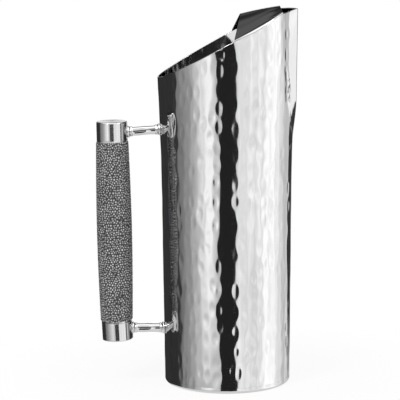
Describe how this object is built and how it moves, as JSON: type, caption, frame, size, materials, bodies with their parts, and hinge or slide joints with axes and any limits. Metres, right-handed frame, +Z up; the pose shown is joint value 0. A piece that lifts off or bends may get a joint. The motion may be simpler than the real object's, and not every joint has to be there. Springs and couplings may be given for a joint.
{
  "type": "water pitcher",
  "caption": "Tall hammered steel pitcher with a slanted rim, folded spout, fixed ice guard and a leather-wrapped side grip on two arms.",
  "frame": {"origin": "centre of the underside of the base, on the body's axis", "axes": "+Z up along the body's axis, +X towards the spout, the handle on the opposite side turned 6 degrees towards -Y"},
  "size_m": [0.1514, 0.1042, 0.2842],
  "materials": {
    "hammered_steel": "hand-hammered stainless sheet, mirror polished",
    "polished_sheet": "mirror-polished stainless sheet",
    "polished_steel": "turned and mirror-polished stainless steel",
    "hammered_rod": "hammered and polished stainless rod",
    "shagreen_leather": "pebbled grey shagreen",
    "beech_core": "turned beech, unfinished",
    "plain_steel": "drawn steel rod"
  },
  "bodies": {
    "root": {"body_wall": "hammered_steel", "base_plate": "hammered_steel", "spout": "polished_sheet", "ice_guard": "polished_sheet", "upper_arm": "hammered_rod", "lower_arm": "hammered_rod", "upper_wall_collar": "polished_steel", "lower_wall_collar": "polished_steel", "upper_grip_collar": "polished_steel", "lower_grip_collar": "polished_steel", "upper_ferrule": "polished_steel", "lower_ferrule": "polished_steel", "grip_core": "beech_core", "grip_sleeve": "shagreen_leather", "tie_rod": "plain_steel"}
  },
  "joints": []
}
